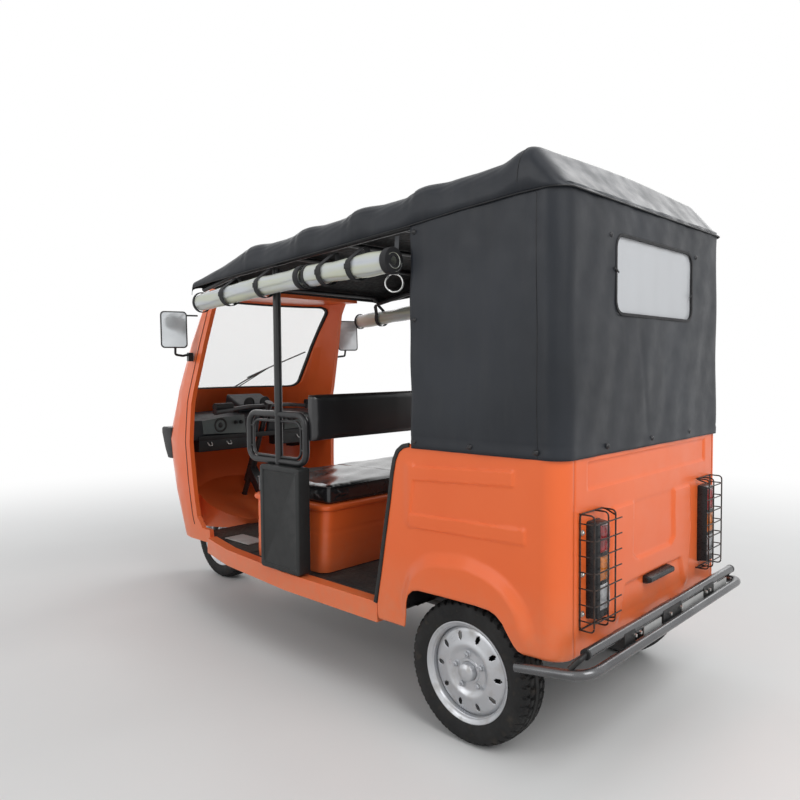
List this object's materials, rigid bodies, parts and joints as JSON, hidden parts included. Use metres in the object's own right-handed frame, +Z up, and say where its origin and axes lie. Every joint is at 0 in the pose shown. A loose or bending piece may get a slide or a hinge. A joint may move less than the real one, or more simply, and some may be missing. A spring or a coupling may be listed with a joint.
{
  "type": "auto rickshaw",
  "caption": "Three-wheeled passenger rickshaw with a steered front wheel, open sides, driver and passenger seats, fabric canopy and rear bumper.",
  "frame": {"origin": "on the ground, in the middle of the vehicle's length and width", "axes": "+Z up; the vehicle faces -Y; its left side is +X"},
  "size_m": [1.4024, 3.13, 1.9672],
  "materials": {
    "orange_paint": "semi-gloss sprayed body paint",
    "black_paint": "black enamel on steel tube",
    "canvas": "coated canvas",
    "clear_film": "clear flexible film",
    "glass": "laminated glass",
    "tyre_rubber": "rubber with block tread",
    "wheel_silver": "silver painted pressed steel",
    "seat_vinyl": "black vinyl",
    "dash_plastic": "grained moulding",
    "black_plastic": "black moulding",
    "lamp_lens": "coloured lens"
  },
  "bodies": {
    "body": {"front_shell": "orange_paint", "wheel_well": "orange_paint", "sills": "orange_paint", "floor_pan": "orange_paint", "rear_side_left": "orange_paint", "rear_side_right": "orange_paint", "rear_panel": "orange_paint", "driver_seat_box": "orange_paint", "passenger_bench": "orange_paint", "chassis_frame": "black_paint", "rear_axle": "black_paint", "leaf_springs": "black_paint", "roof_frame": "black_paint", "rear_posts": "black_paint", "post_panels": "black_paint", "arm_hoops": "black_paint", "lamp_guards": "black_paint", "rear_bumper": "black_paint", "wheel_houses": "black_paint", "canopy_roof": "canvas", "canopy_rear": "canvas", "rear_window": "clear_film", "curtain_rolls": "clear_film", "windscreen": "glass", "driver_cushion": "seat_vinyl", "driver_backrest": "seat_vinyl", "passenger_cushion": "seat_vinyl", "passenger_backrest": "seat_vinyl", "dashboard": "dash_plastic", "instrument_hood": "dash_plastic", "mirrors": "black_plastic", "front_lamps": "black_plastic", "tail_lamps": "lamp_lens", "plate_lamp": "lamp_lens"},
    "steering": {"fork": "black_paint", "handlebar": "black_paint", "front_mudguard": "black_paint"},
    "front_wheel": {"front_tyre": "tyre_rubber", "front_rim": "wheel_silver"},
    "rear_wheel_left": {"rear_tyre_left": "tyre_rubber", "rear_rim_left": "wheel_silver"},
    "rear_wheel_right": {"rear_tyre_right": "tyre_rubber", "rear_rim_right": "wheel_silver"}
  },
  "joints": [
    {"name": "steering_turn", "type": "hinge", "parent": "body", "child": "steering", "pos_m": [0, -1.22922, 0.22848], "axis": [0, 0.4226, 0.9063], "range_deg": [-40, 40]},
    {"name": "front_wheel_spin", "type": "hinge", "parent": "steering", "child": "front_wheel", "pos_m": [0, -1.27, 0.2475], "axis": [1, 0, 0], "continuous": true},
    {"name": "rear_wheel_left_spin", "type": "hinge", "parent": "body", "child": "rear_wheel_left", "pos_m": [0.534, 1.06, 0.2475], "axis": [1, 0, 0], "continuous": true},
    {"name": "rear_wheel_right_spin", "type": "hinge", "parent": "body", "child": "rear_wheel_right", "pos_m": [-0.534, 1.06, 0.2475], "axis": [1, 0, 0], "continuous": true}
  ]
}
